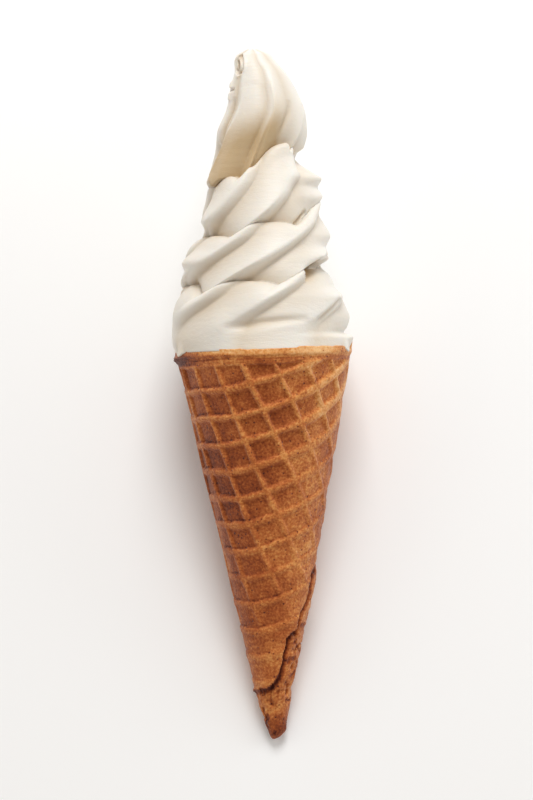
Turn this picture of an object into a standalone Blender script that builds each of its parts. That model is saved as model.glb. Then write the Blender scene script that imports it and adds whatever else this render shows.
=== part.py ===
"""Vanilla soft serve piped into a rolled waffle cone, lying on its side.

Two solids: the rolled wafer with its thick wall, lapped edge, rim lip and blunt tip, and the ice cream,
which fills the wafer and stands above the rim as a swirl from a six-lobed nozzle. Both are worked out round
the cone's axis with the rim's plane at height zero, then laid down, so that the back of the cone rests on
the floor along its whole length. Lengths are in metres and angles in radians. Azimuth zero faces the side
that ends up on top, and azimuth grows towards +X.
"""

import math

import bpy
import numpy as np

MM = 0.001

# Rolled wafer
RIM_RADIUS = 34.2 * MM
TIP_RADIUS = 3.1 * MM
CONE_LENGTH = 150.4 * MM
WALL = 2.6 * MM
LAP_STEP = 1.2 * MM
LAP_EDGE_TURNS = 0.05
LIP_HEIGHT = 5.0 * MM
LIP_PROUD = 0.4 * MM
RIM_EDGE = 0.6 * MM
CUP_DEPTH = 128.0 * MM
CONE_COLUMNS = 64
CONE_ROWS = 22
CUP_ROWS = 3

# Swirl of ice cream
SWIRL_HEIGHT = 116.5 * MM
LOBES = 6
COLUMNS_PER_LOBE = 9
SWIRL_ROWS = 50
LOBE_CROWDING = 0.1
CREASE_POWER = 1.8
VALLEY_SKEW = 0.6
VALLEY_ROUNDING = 0.1
SAG_TURNS = 0.16
SAG_HEIGHT = 68 * MM
SAG_REACH = 12 * MM

# How the two meet, and how they rest
GAP = 0.3 * MM
FLAT_DEPTH = 1.0 * MM

HALF_ANGLE = math.atan((RIM_RADIUS - TIP_RADIUS) / CONE_LENGTH)
APEX_DEPTH = RIM_RADIUS / math.tan(HALF_ANGLE)

WAFER_COLOUR = (0.42, 0.17, 0.055, 1.0)
CREAM_COLOUR = (0.88, 0.82, 0.68, 1.0)


def smooth_curve(*points, scale=1.0):
    """A curve without overshoot through (height in mm, value) points: a cubic between each two, whose slope
    at a point is the harmonic mean of the slopes beside it."""
    height, value = np.array(points, float).T
    height, value = height * MM, value * scale
    run = np.diff(height)
    slope = np.diff(value) / run
    product = slope[1:] * slope[:-1]
    same_way = product > 0
    inner = np.where(same_way, 2 * product / np.where(same_way, slope[1:] + slope[:-1], 1), 0)
    tangent = np.concatenate([slope[:1], inner, slope[-1:]])

    def at(query):
        query = np.clip(query, height[0], height[-1])
        i = np.clip(np.searchsorted(height, query, side="right") - 1, 0, len(run) - 1)
        t = (query - height[i]) / run[i]
        rise = (1 + 2 * t) * (1 - t) ** 2 * value[i] + t * t * (3 - 2 * t) * value[i + 1]
        lean_in = t * (1 - t) ** 2 * tangent[i] - t * t * (1 - t) * tangent[i + 1]
        return rise + lean_in * run[i]

    return at


# Heights above the rim in mm, against the radius over the crests, the coils passed at the front, the azimuth
# of one crest, the depth of the valleys, the share of the radius lost in the creases, and the sideways lean.
crest_radius = smooth_curve((0, 33.8), (9.7, 34.4), (36.8, 28.8), (58, 24.4), (75, 19.6), (87, 17.4),
                            (96.8, 14.4), (104.5, 11.6), (110.3, 9.0), (114.2, 6.2), (116.5, 2.0), scale=MM)
coils_passed = smooth_curve((0, 0), (26.3, 1), (49.1, 2), (72, 3), (103, 4), (116.5, 4.3))
crest_azimuth = smooth_curve((0, -163), (9.3, -149), (17.4, -123), (30.6, -74), (44.1, -20), (59.6, 28),
                             (74.3, 57), (96.8, 76), (116.5, 81), scale=math.radians(1))
valley_depth = smooth_curve((0, 0.3), (4, 1.2), (12, 2.8), (60, 3.0), (80, 2.6), (100, 1.6), (116.5, 0),
                            scale=MM)
crease_share = smooth_curve((0, 0), (8, 0.12), (26, 0.17), (72, 0.18), (85, 0.08), (95, 0))
sideways_lean = smooth_curve((74, 0), (85, 2.1), (93, 3.9), (100.6, 3.2), (107, 2.2), (112.2, 0.2),
                             (116.5, -0.4), scale=MM)

# Height above the rim in mm against the azimuth of the wafer's lapped free edge.
lap_azimuth = smooth_curve((-150.4, -260), (-131, -70), (-128, 0), (-112, 26), (-100, 62), (-82, 90),
                           (0, 140), scale=math.radians(1))


def round_axis(azimuth, radius, height, shift=0.0):
    """Points at these azimuths and radii about the cone's axis, moved sideways by shift."""
    across = shift + radius * np.sin(azimuth)
    behind = -radius * np.cos(azimuth)
    return np.stack(np.broadcast_arrays(across, behind, height), axis=-1)


def swirl_radius(azimuth, height):
    """Radius over the crests, less the crease between coils and the skewed valley between lobes."""
    sag = SAG_TURNS * np.cos(2 * azimuth) * np.exp(-(((height - SAG_HEIGHT) / SAG_REACH) ** 2))
    coil = coils_passed(height) - azimuth / math.tau - sag
    crease = (0.5 + 0.5 * np.cos(math.tau * coil)) ** CREASE_POWER
    crowded = azimuth + LOBE_CROWDING * np.sin(2 * azimuth)
    lobe = (crowded - crest_azimuth(height)) * LOBES / math.tau
    lobe = (lobe + 1e-6) % 1.0
    valley = np.sin(math.pi * lobe**VALLEY_SKEW)
    valley = np.sqrt(valley**2 + VALLEY_ROUNDING**2) - VALLEY_ROUNDING
    radius = crest_radius(height)
    depth = np.minimum(valley_depth(height), 0.3 * radius)
    return radius * (1 - crease_share(height) * crease) - depth * valley


def azimuth_of_crowded(crowded):
    """The azimuth whose crowded value this is, by fixed-point steps."""
    azimuth = crowded
    for _ in range(12):
        azimuth = crowded - LOBE_CROWDING * np.sin(2 * azimuth)
    return azimuth


def swirl_rings():
    """Rings up the swirl, closer together near its top, whose columns follow the crests."""
    way = np.linspace(0, 1, SWIRL_ROWS)[:, None]
    height = GAP + (SWIRL_HEIGHT - GAP) * (1 - (1 - way) ** 1.25)
    column = np.arange(LOBES * COLUMNS_PER_LOBE)[None, :]
    crowded = crest_azimuth(height) + column * math.tau / (LOBES * COLUMNS_PER_LOBE)
    azimuth = azimuth_of_crowded(crowded)
    return round_axis(azimuth, swirl_radius(azimuth, height), height, sideways_lean(height))


def plug_rings():
    """Rings of the ice cream inside the wafer, from its lowest end up to the rim."""
    columns = LOBES * COLUMNS_PER_LOBE
    azimuth = crest_azimuth(GAP) + np.arange(columns)[None, :] * math.tau / columns
    height = np.array([-CUP_DEPTH + 2 * WALL, -CUP_DEPTH / 2, -CUP_DEPTH / 6, GAP])[:, None]
    return round_axis(azimuth, cup_radius(height) - GAP / math.cos(HALF_ANGLE), height)


def cone_radius(height):
    """Nominal outer radius of the wafer, a straight taper."""
    return RIM_RADIUS + height * math.tan(HALF_ANGLE)


def cup_radius(height):
    """Inner radius of the wafer."""
    return cone_radius(height) - WALL / math.cos(HALF_ANGLE)


def wafer_rings():
    """Rings up the outside: a taper that spirals out to the lapped edge, with a lip below the rim."""
    azimuth = np.arange(CONE_COLUMNS)[None, :] * math.tau / CONE_COLUMNS
    way = np.linspace(0, 1, CONE_ROWS)[:, None]
    height = -(CONE_LENGTH - LIP_HEIGHT) + (CONE_LENGTH - 2 * LIP_HEIGHT) * way
    lip = np.array([-0.7 * LIP_HEIGHT, -0.35 * LIP_HEIGHT, -RIM_EDGE])[:, None]
    height = np.concatenate([height, lip])
    turned = ((azimuth - lap_azimuth(height)) / math.tau) % 1.0
    lapped = np.minimum(turned / (1 - LAP_EDGE_TURNS), (1 - turned) / LAP_EDGE_TURNS)
    proud = np.array([0.0] * CONE_ROWS + [0.4, 1.0, 0.7])[:, None] * LIP_PROUD
    radius = cone_radius(height) + LAP_STEP * (lapped - 0.5) + proud
    tip_height = np.array([-CONE_LENGTH, -CONE_LENGTH + 0.6 * MM, -CONE_LENGTH + 2 * MM])[:, None]
    tip_radius = np.array([0.45, 0.85, 1.0])[:, None] * TIP_RADIUS
    tip = round_axis(azimuth, tip_radius, tip_height)
    return np.concatenate([tip, round_axis(azimuth, radius, height)])


def cup_rings():
    """Rings over the rim's top edge and down the inside to the bottom of the cup."""
    azimuth = np.arange(CONE_COLUMNS)[None, :] * math.tau / CONE_COLUMNS
    edge_radius = np.array([cone_radius(0) - RIM_EDGE, cup_radius(0) + RIM_EDGE / 2])[:, None]
    edge = round_axis(azimuth, edge_radius, 0.0 * edge_radius)
    height = -RIM_EDGE - (CUP_DEPTH - WALL - RIM_EDGE) * np.linspace(0, 1, CUP_ROWS)[:, None]
    return np.concatenate([edge, round_axis(azimuth, cup_radius(height), height)])


def laid_down(points):
    """Turned about X until the back of the cone lies along the floor, and cut flat where it rests."""
    up = points[..., 2] + APEX_DEPTH
    behind = points[..., 1]
    along = up * math.cos(HALF_ANGLE) + behind * math.sin(HALF_ANGLE)
    above = up * math.sin(HALF_ANGLE) - behind * math.cos(HALF_ANGLE)
    return np.stack([points[..., 0], along, np.maximum(above - FLAT_DEPTH, 0.0)], axis=-1)


def closed_skin(rings):
    """Points and faces of rings joined in order, with a point in the middle of each end ring."""
    rows, columns = rings.shape[:2]
    points = np.concatenate([rings.reshape(-1, 3), [rings[0].mean(axis=0)], [rings[-1].mean(axis=0)]])
    first_end, last_end = rows * columns, rows * columns + 1
    faces = []
    for row in range(rows - 1):
        for column in range(columns):
            a, b = row * columns + column, row * columns + (column + 1) % columns
            faces.append((a, b, b + columns, a + columns))
    top = (rows - 1) * columns
    for column in range(columns):
        beside = (column + 1) % columns
        faces.append((beside, column, first_end))
        faces.append((top + column, top + beside, last_end))
    return points, faces


def material(name, colour, roughness):
    made = bpy.data.materials.new(name)
    made.use_nodes = True
    shader = made.node_tree.nodes["Principled BSDF"]
    shader.inputs["Base Color"].default_value = colour
    shader.inputs["Roughness"].default_value = roughness
    shader.inputs["Metallic"].default_value = 0.0
    return made


def add_piece(name, points, faces, finish, parent):
    mesh = bpy.data.meshes.new(name)
    mesh.from_pydata(points.tolist(), [], faces)
    mesh.materials.append(finish)
    mesh.shade_smooth()
    mesh.set_sharp_from_angle(angle=math.radians(40))
    piece = bpy.data.objects.new(name, mesh)
    piece.parent = parent
    bpy.context.scene.collection.objects.link(piece)


def main():
    for old in list(bpy.data.objects):
        bpy.data.objects.remove(old)

    wafer = closed_skin(laid_down(np.concatenate([wafer_rings(), cup_rings()])))
    cream = closed_skin(laid_down(np.concatenate([plug_rings(), swirl_rings()])))

    both = np.concatenate([wafer[0], cream[0]])
    middle = (both.min(axis=0) + both.max(axis=0)) / 2
    to_origin = np.array([-middle[0], -middle[1], 0.0])

    resting = bpy.data.objects.new("resting_place", None)
    bpy.context.scene.collection.objects.link(resting)
    wafer_finish = material("baked_wafer", WAFER_COLOUR, 0.6)
    cream_finish = material("vanilla_soft_serve", CREAM_COLOUR, 0.4)
    add_piece("waffle_cone", wafer[0] + to_origin, wafer[1], wafer_finish, resting)
    add_piece("soft_serve", cream[0] + to_origin, cream[1], cream_finish, resting)


main()
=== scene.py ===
"""Looks of a vanilla soft serve piped into a rolled waffle cone, which lies on its side.

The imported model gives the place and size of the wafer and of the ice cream. This script puts a finely
shaped skin in place of each: the wafer with its pressed grid, plain margin, lapped edge and crumbly tip, and
the ice cream with the ridges of a star nozzle, the creases between its coils and its folded tip.

Shapes are worked out round the cone's axis, in metres and radians. Height is counted up from the plane of
the rim, azimuth zero faces the shown side, which ends up on top, and azimuth grows towards +X.
"""

import logging
import math
from collections.abc import Callable
from dataclasses import dataclass, field
from enum import Enum
from functools import cache

import bpy
import numpy as np
from mathutils import Matrix, Vector


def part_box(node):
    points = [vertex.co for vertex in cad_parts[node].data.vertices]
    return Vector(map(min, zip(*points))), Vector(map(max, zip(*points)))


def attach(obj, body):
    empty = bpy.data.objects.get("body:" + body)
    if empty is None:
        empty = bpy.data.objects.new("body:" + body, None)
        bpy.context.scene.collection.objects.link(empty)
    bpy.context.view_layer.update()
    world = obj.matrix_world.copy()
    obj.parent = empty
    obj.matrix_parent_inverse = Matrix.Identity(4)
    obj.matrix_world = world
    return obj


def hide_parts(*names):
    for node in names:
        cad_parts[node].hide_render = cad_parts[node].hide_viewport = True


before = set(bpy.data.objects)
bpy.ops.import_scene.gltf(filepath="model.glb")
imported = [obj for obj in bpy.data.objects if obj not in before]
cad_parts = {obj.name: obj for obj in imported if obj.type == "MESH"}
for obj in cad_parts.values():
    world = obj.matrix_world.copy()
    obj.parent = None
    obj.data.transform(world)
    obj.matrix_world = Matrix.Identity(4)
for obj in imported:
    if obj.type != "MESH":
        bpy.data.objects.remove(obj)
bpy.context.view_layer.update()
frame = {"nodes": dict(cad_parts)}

MM = 0.001
DEGREE = math.radians(1)
TURN = math.tau

Array = np.ndarray
Curve = Callable[[Array], Array]
log = logging.getLogger("cone")


class Slot(Enum):
    """Material slots of the record."""

    WAFER = "baked_wafer"
    CREAM = "vanilla_soft_serve"


# ---------------------------------------------------------------- numbers and curves


def smooth_curve(*points: tuple[float, float], scale: float = 1.0, unit: float = MM) -> Curve:
    """Make a curve without overshoot through a few points.

    Between two points it is a cubic, and its slope at a point is the harmonic mean of the slopes beside it,
    or zero where those have different signs.

    Args:
        points: (place, value) pairs in rising order of place.
        scale: What one unit of the values is worth.
        unit: What one unit of the places is worth.

    Returns:
        A function from an array of places to an array of values.
    """
    place, value = np.array(points, float).T
    place, value = place * unit, value * scale
    run = np.diff(place)
    slope = np.diff(value) / run
    product = slope[1:] * slope[:-1]
    same_way = product > 0
    inner = np.where(same_way, 2 * product / np.where(same_way, slope[1:] + slope[:-1], 1), 0)
    tangent = np.concatenate([slope[:1], inner, slope[-1:]])

    def at(query: Array) -> Array:
        """Value of the curve, held constant past its ends.

        Args:
            query: Places to look up.

        Returns:
            One value for each place.
        """
        query = np.clip(query, place[0], place[-1])
        i = np.clip(np.searchsorted(place, query, side="right") - 1, 0, len(run) - 1)
        t = (query - place[i]) / run[i]
        levels = (1 + 2 * t) * (1 - t) ** 2 * value[i] + t * t * (3 - 2 * t) * value[i + 1]
        slopes = t * (1 - t) ** 2 * tangent[i] - t * t * (1 - t) * tangent[i + 1]
        return levels + slopes * run[i]

    return at


def curve(*points: tuple[float, float], scale: float = 1.0, unit: float = MM) -> Curve:
    """Dataclass field that holds a smooth curve through these points."""
    return field(default_factory=lambda: smooth_curve(*points, scale=scale, unit=unit))


def smooth_step(low: float, high: float, value: Array) -> Array:
    """Rise from 0 at low to 1 at high along 3t^2 - 2t^3; with low above high it falls instead."""
    t = np.clip((value - low) / (high - low), 0, 1)
    return t * t * (3 - 2 * t)


def plateau(value: Array, start: float, full: float, fading: float, end: float, unit: float = 1.0) -> Array:
    """Rise from 0 at start to 1 at full, then fall from 1 at fading to 0 at end, all given in this unit."""
    return smooth_step(start * unit, full * unit, value) * smooth_step(end * unit, fading * unit, value)


def bell(value: Array, middle: float, width: float) -> Array:
    """Bump that is 1 at middle and falls to about a third at width from it."""
    return np.exp(-(((value - middle) / width) ** 2))


@dataclass(frozen=True)
class Unevenness:
    """Smooth noise between -1 and 1: random values on a cubic lattice, blended along 3t^2 - 2t^3."""

    seed: int
    period: int = 32

    def at(self, points: Array, size: float) -> Array:
        """Noise at points, with lumps about as wide as size.

        Args:
            points: Places in metres, with x, y and z along the last axis.
            size: Spacing of the lattice in metres.

        Returns:
            One value for each place.
        """
        lattice = np.random.default_rng(self.seed).uniform(-1, 1, (self.period,) * 3)
        scaled = points / size
        corner = np.floor(scaled).astype(int)
        t = scaled - corner
        t = t * t * (3 - 2 * t)
        total = np.zeros(points.shape[:-1])
        for step in np.ndindex(2, 2, 2):
            i, j, k = np.moveaxis((corner + step) % self.period, -1, 0)
            share = np.prod(np.where(np.array(step) == 1, t, 1 - t), axis=-1)
            total += share * lattice[i, j, k]
        return total

    def layered(self, points: Array, size: float, layers: int = 3) -> Array:
        """Sum of this noise at size, half of it, a quarter and so on, each half as strong as the last."""
        return sum(self.at(points + layer, size / 2**layer) / 2**layer for layer in range(layers))


# ---------------------------------------------------------------- meshes


def closed_skin(name: str, rings: Array, values: dict[str, Array]) -> bpy.types.Object:
    """Make one closed mesh from rings joined in order, with a point in the middle of each end ring.

    Args:
        name: Name of the new object.
        rings: Points of shape (rows, columns, 3); each row closes on itself.
        values: For each attribute its value at every point, of shape (rows, columns).

    Returns:
        The new object, smooth shaded, at the origin.
    """
    rows, columns = rings.shape[:2]
    ends = np.stack([rings[0].mean(axis=0), rings[-1].mean(axis=0)])
    points = np.concatenate([rings.reshape(-1, 3), ends])
    index = np.arange(rows * columns).reshape(rows, columns)
    beside = np.roll(index, -1, axis=1)
    quads = np.stack([index[:-1], beside[:-1], beside[1:], index[1:]], axis=-1).reshape(-1, 4)
    first, last = np.full(columns, rows * columns), np.full(columns, rows * columns + 1)
    fans = np.concatenate([np.stack([beside[0], index[0], first], axis=-1),
                           np.stack([index[-1], beside[-1], last], axis=-1)])
    mesh = bpy.data.meshes.new(name)
    mesh.vertices.add(len(points))
    mesh.vertices.foreach_set("co", points.ravel())
    mesh.loops.add(quads.size + fans.size)
    mesh.loops.foreach_set("vertex_index", np.concatenate([quads.ravel(), fans.ravel()]))
    mesh.polygons.add(len(quads) + len(fans))
    starts = np.concatenate([np.arange(len(quads)) * 4, quads.size + np.arange(len(fans)) * 3])
    mesh.polygons.foreach_set("loop_start", starts)
    for key, value in values.items():
        held = mesh.attributes.new(key, "FLOAT", "POINT")
        held.data.foreach_set("value", np.concatenate([value.ravel(), value[0, :1], value[-1, :1]]))
    mesh.update(calc_edges=True)
    mesh.validate()
    mesh.shade_smooth()
    piece = bpy.data.objects.new(name, mesh)
    bpy.context.scene.collection.objects.link(piece)
    return piece


# ---------------------------------------------------------------- the shared frame


@dataclass(frozen=True)
class ConeFrame:
    """Where the cone's axis lies, and how a place about it becomes a place in the model."""

    rim_radius: float = 34.2 * MM
    tip_radius: float = 3.1 * MM
    length: float = 150.4 * MM
    flat_depth: float = 1.0 * MM
    tip_end_share: float = 0.45

    @property
    def half_angle(self) -> float:
        """Angle between the axis and the side."""
        return math.atan((self.rim_radius - self.tip_radius) / self.length)

    @property
    def apex_depth(self) -> float:
        """Depth below the rim at which the sides would meet."""
        return self.rim_radius / math.tan(self.half_angle)

    @property
    def axis(self) -> Vector:
        """Direction from the tip to the top of the swirl."""
        return Vector((0, math.cos(self.half_angle), math.sin(self.half_angle)))

    @property
    def shown_side(self) -> Vector:
        """Direction that azimuth zero faces."""
        return Vector((0, -math.sin(self.half_angle), math.cos(self.half_angle)))

    def shift(self) -> Vector:
        """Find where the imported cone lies, from the centre of its tip.

        Returns:
            The move that puts the laid-down cone there.
        """
        node = frame["nodes"]["waffle_cone"]
        points = np.array([v.co for v in node.data.vertices])
        up = points[:, 1] * math.cos(self.half_angle) + points[:, 2] * math.sin(self.half_angle)
        tip = points[up < up.min() + 0.05 * MM]
        lowest = (self.apex_depth - self.length) * math.cos(self.half_angle)
        lowest -= self.tip_end_share * self.tip_radius * math.sin(self.half_angle)
        across = (tip[:, 0].min() + tip[:, 0].max()) / 2
        return Vector((across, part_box("waffle_cone")[0].y - lowest, 0))

    def radius(self, height: Array) -> Array:
        """Outer radius of the plain taper."""
        return self.rim_radius + height * math.tan(self.half_angle)

    def round_axis(self, azimuth: Array, radius: Array, height: Array, shift: Array | float = 0.0) -> Array:
        """Points at these azimuths and radii about the axis, moved sideways by shift."""
        across = shift + radius * np.sin(azimuth)
        return np.stack(np.broadcast_arrays(across, -radius * np.cos(azimuth), height), axis=-1)

    def laid_down(self, points: Array) -> Array:
        """Lay the cone down: turn points about X until the back lies along the floor, and cut it flat there.

        Args:
            points: Points about the upright axis, with the rim's centre as origin, of shape (..., 3).

        Returns:
            The same points in the model.
        """
        up, behind = points[..., 2] + self.apex_depth, points[..., 1]
        cosine, sine = math.cos(self.half_angle), math.sin(self.half_angle)
        along = up * cosine + behind * sine
        above = up * sine - behind * cosine - self.flat_depth
        shift = self.shift()
        return np.stack([points[..., 0] + shift.x, along + shift.y, np.maximum(above, 0)], axis=-1)

    def place(self, across: float, height: float, front: float = 0.0) -> Vector:
        """One place in the model from its distance across, height and distance in front of the axis."""
        base = self.shift() + Vector((across, 0, -self.flat_depth))
        return base + self.axis * (height + self.apex_depth) + self.shown_side * front


# ---------------------------------------------------------------- finishes


def colour(red: int, green: int, blue: int) -> tuple[float, float, float, float]:
    """Turn a display colour into linear values, by the sRGB curve.

    Args:
        red: Display value between 0 and 255.
        green: The same for green.
        blue: The same for blue.

    Returns:
        Red, green, blue and an opaque alpha.
    """
    shown = np.array([red, green, blue]) / 255
    linear = np.where(shown <= 0.04045, shown / 12.92, ((shown + 0.055) / 1.055) ** 2.4)
    return (*linear.tolist(), 1.0)


Socket = bpy.types.NodeSocket


@dataclass(frozen=True)
class Nodes:
    """Short ways to add and join nodes in one node tree."""

    tree: bpy.types.NodeTree

    def add(self, kind: str, inputs: dict | None = None, **settings: object) -> bpy.types.Node:
        """Add a node.

        Args:
            kind: Blender's name of the node's type.
            inputs: Value or source socket for each named or numbered input.
            settings: Properties of the node.

        Returns:
            The new node.
        """
        made = self.tree.nodes.new(kind)
        for key, value in settings.items():
            setattr(made, key, value)
        for key, value in (inputs or {}).items():
            self.feed(made.inputs[key], value)
        return made

    def feed(self, socket: Socket, value: object) -> None:
        """Join a source socket to this socket, or set the socket's value.

        Args:
            socket: Input to feed.
            value: Its source socket or its value.
        """
        if isinstance(value, Socket):
            self.tree.links.new(value, socket)
        else:
            socket.default_value = value

    def attribute(self, name: str) -> Socket:
        """Value of one of the piece's own attributes."""
        return self.add("ShaderNodeAttribute", attribute_name=name).outputs["Fac"]

    def place(self) -> Socket:
        """Place on the piece."""
        return self.add("ShaderNodeTexCoord").outputs["Object"]

    def math(self, operation: str, first: object, second: object = 0.0, third: object = 0.0,
             clamp: bool = False) -> Socket:
        """Result of a Math node."""
        inputs = {0: first, 1: second, 2: third}
        return self.add("ShaderNodeMath", inputs, operation=operation, use_clamp=clamp).outputs["Value"]

    def total(self, *parts: tuple[Socket, float], start: object = 0.0, clamp: bool = False) -> Socket:
        """Add parts up.

        Args:
            parts: Each part with its weight.
            start: What they are added to.
            clamp: Whether the sum is kept between 0 and 1.

        Returns:
            Start plus each part times its weight.
        """
        for part, weight in parts[:-1]:
            start = self.math("MULTIPLY_ADD", part, weight, start)
        part, weight = parts[-1]
        return self.math("MULTIPLY_ADD", part, weight, start, clamp=clamp)

    def group(self, tree: bpy.types.NodeTree, output: str, **inputs: object) -> Socket:
        """Place a shared effect.

        Args:
            tree: The effect's node group.
            output: Name of its output.
            inputs: Value or source socket for each input, by the input's name in lower case.

        Returns:
            The output.
        """
        made = self.add("ShaderNodeGroup", node_tree=tree)
        for name, value in inputs.items():
            self.feed(made.inputs[name.capitalize()], value)
        return made.outputs[output]


def shared_effect(name: str, inputs: dict[str, object], output: str) -> tuple[Nodes, bpy.types.Node, Socket]:
    """Start a node group.

    Args:
        name: Name of the group.
        inputs: Names of the inputs, each with its usual number, or None where it takes a place.
        output: Name of the one output, a number.

    Returns:
        Ways to add nodes in it, its input node, and the socket that its result goes to.
    """
    tree = bpy.data.node_groups.new(name, "ShaderNodeTree")
    for key, usual in inputs.items():
        kind = "NodeSocketVector" if usual is None else "NodeSocketFloat"
        made = tree.interface.new_socket(key, in_out="INPUT", socket_type=kind)
        if usual is not None:
            made.default_value = usual
    tree.interface.new_socket(output, in_out="OUTPUT", socket_type="NodeSocketFloat")
    nodes = Nodes(tree)
    given = nodes.add("NodeGroupInput")
    return nodes, given, nodes.add("NodeGroupOutput").inputs[output]


@cache
def grain_effect() -> bpy.types.NodeTree:
    """Layered noise around zero, drawn out across the cone by Streak.

    Returns:
        The effect's node group.
    """
    nodes, given, result = shared_effect("grain", {"Place": None, "Size": 0.001, "Streak": 1.0}, "Grain")
    streak = nodes.math("MULTIPLY", given.outputs["Size"], given.outputs["Streak"])
    across = nodes.math("DIVIDE", 1.0, streak)
    along = nodes.math("DIVIDE", 1.0, given.outputs["Size"])
    scale = nodes.add("ShaderNodeCombineXYZ", {"X": across, "Y": along, "Z": along}).outputs[0]
    scaled = nodes.add("ShaderNodeVectorMath", {0: given.outputs["Place"], 1: scale}, operation="MULTIPLY")
    noise = nodes.add("ShaderNodeTexNoise", {"Vector": scaled.outputs[0], "Scale": 1.0, "Detail": 4.0,
                                             "Roughness": 0.6})
    nodes.feed(result, nodes.math("SUBTRACT", noise.outputs["Fac"], 0.5))
    return nodes.tree


@cache
def pore_effect() -> bpy.types.NodeTree:
    """Small round holes: 1 in a hole and 0 elsewhere, in Share of the cells of a Voronoi pattern.

    Returns:
        The effect's node group.
    """
    nodes, given, result = shared_effect("pores", {"Place": None, "Spacing": 0.002, "Share": 0.5}, "Pore")
    scale = nodes.math("DIVIDE", 1.0, given.outputs["Spacing"])
    cells = nodes.add("ShaderNodeTexVoronoi", {"Vector": given.outputs["Place"], "Scale": scale})
    chance = nodes.add("ShaderNodeSeparateColor", {"Color": cells.outputs["Color"]}).outputs[0]
    radius = nodes.math("MULTIPLY", nodes.math("SUBTRACT", given.outputs["Share"], chance), 0.9)
    edge = nodes.math("SUBTRACT", nodes.math("MINIMUM", radius, 0.3), cells.outputs["Distance"])
    nodes.feed(result, nodes.math("MULTIPLY", edge, 8.0, clamp=True))
    return nodes.tree


def plain_material(name: str) -> tuple[bpy.types.Material, Nodes, bpy.types.Node]:
    """Start a material.

    Args:
        name: Name of the material.

    Returns:
        The material, ways to add nodes in it, and its Principled BSDF.
    """
    material = bpy.data.materials.new(name)
    material.use_nodes = True
    return material, Nodes(material.node_tree), material.node_tree.nodes["Principled BSDF"]


def set_inputs(surface: bpy.types.Node, **values: object) -> None:
    """Set inputs of a node from names written with underscores."""
    for name, value in values.items():
        surface.inputs[name.replace("_", " ")].default_value = value


@dataclass(frozen=True)
class BakedWafer:
    """Finish of baked batter: golden where it stands proud, browner in the hollows, dull and porous, with
    painted light and shade mixed into its browning.
    """

    deepest: tuple = colour(86, 28, 8)
    hollow: tuple = colour(152, 73, 24)
    brown: tuple = colour(187, 107, 49)
    golden: tuple = colour(219, 149, 81)
    palest: tuple = colour(242, 192, 134)
    mottle_size: float = 8.0 * MM
    speck_size: float = 0.9 * MM
    pore_spacing: float = 1.5 * MM

    def material(self) -> bpy.types.Material:
        """Colour the wafer by its browning, which also holds painted light and shade, with mottling, specks
        and pores over it.

        Returns:
            The finished material.
        """
        material, nodes, surface = plain_material(Slot.WAFER.value)
        place = nodes.place()
        mottle = nodes.group(grain_effect(), "Grain", place=place, size=self.mottle_size)
        specks = nodes.group(grain_effect(), "Grain", place=place, size=self.speck_size)
        pores = nodes.group(pore_effect(), "Pore", place=place, spacing=self.pore_spacing, share=0.42)
        toast_and_shading = nodes.attribute("toast_and_shading")
        share = nodes.total((mottle, 0.5), (specks, 0.95), (pores, 0.35), start=toast_and_shading, clamp=True)
        ramp = nodes.add("ShaderNodeValToRGB", {"Fac": share})
        stops = {0.0: self.palest, 0.27: self.golden, 0.48: self.brown, 0.7: self.hollow, 1.0: self.deepest}
        while len(ramp.color_ramp.elements) < len(stops):
            ramp.color_ramp.elements.new(0.5)
        for element, (at, tint) in zip(ramp.color_ramp.elements, stops.items()):
            element.position, element.color = at, tint
        nodes.feed(surface.inputs["Base Color"], ramp.outputs["Color"])
        nodes.feed(surface.inputs["Roughness"], nodes.total((specks, 0.4), start=0.72, clamp=True))
        height = nodes.total((mottle, 0.8), (specks, 1.0), (pores, -1.0))
        bump = nodes.add("ShaderNodeBump", {"Height": height, "Strength": 0.8, "Distance": 0.3 * MM})
        nodes.feed(surface.inputs["Normal"], bump.outputs["Normal"])
        set_inputs(surface, Specular_IOR_Level=0.22, Subsurface_Weight=0.1, Subsurface_Scale=1.2 * MM,
                   Subsurface_Radius=(1.0, 0.4, 0.15), Sheen_Weight=0.2, Sheen_Roughness=0.5)
        return material


@dataclass(frozen=True)
class SoftCream:
    """Finish of frozen cream: warm white, faintly glossy, light passes a little way into it, with painted
    shade in its folds.
    """

    crest: tuple = colour(233, 228, 219)
    # Colour of the painted shade in creases, valleys, grooves and under the hood.
    painted_shade: tuple = colour(196, 171, 134)
    ice_size: float = 0.6 * MM
    streak_size: float = 1.3 * MM
    bubble_spacing: float = 7.0 * MM

    def material(self) -> bpy.types.Material:
        """Make the cream darker and warmer where its painted shade attribute is high, with ice grain,
        streaks and bubbles.

        Returns:
            The finished material.
        """
        material, nodes, surface = plain_material(Slot.CREAM.value)
        place = nodes.place()
        mix = nodes.add("ShaderNodeMix", data_type="RGBA")
        for key, value in ((0, nodes.attribute("painted_shade")), (6, self.crest), (7, self.painted_shade)):
            nodes.feed(mix.inputs[key], value)
        nodes.feed(surface.inputs["Base Color"], mix.outputs[2])
        ice = nodes.group(grain_effect(), "Grain", place=place, size=self.ice_size)
        streaks = nodes.group(grain_effect(), "Grain", place=place, size=self.streak_size, streak=5.0)
        bubbles = nodes.group(pore_effect(), "Pore", place=place, spacing=self.bubble_spacing, share=0.1)
        nodes.feed(surface.inputs["Roughness"], nodes.total((ice, 0.3), start=0.46, clamp=True))
        height = nodes.total((ice, 0.5), (streaks, 1.4), (bubbles, -1.5))
        bump = nodes.add("ShaderNodeBump", {"Height": height, "Strength": 0.5, "Distance": 0.25 * MM})
        nodes.feed(surface.inputs["Normal"], bump.outputs["Normal"])
        set_inputs(surface, Specular_IOR_Level=0.4, Subsurface_Weight=0.3, Subsurface_Scale=2.0 * MM,
                   Subsurface_Radius=(1.0, 0.75, 0.5))
        return material


# ---------------------------------------------------------------- the wafer


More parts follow.
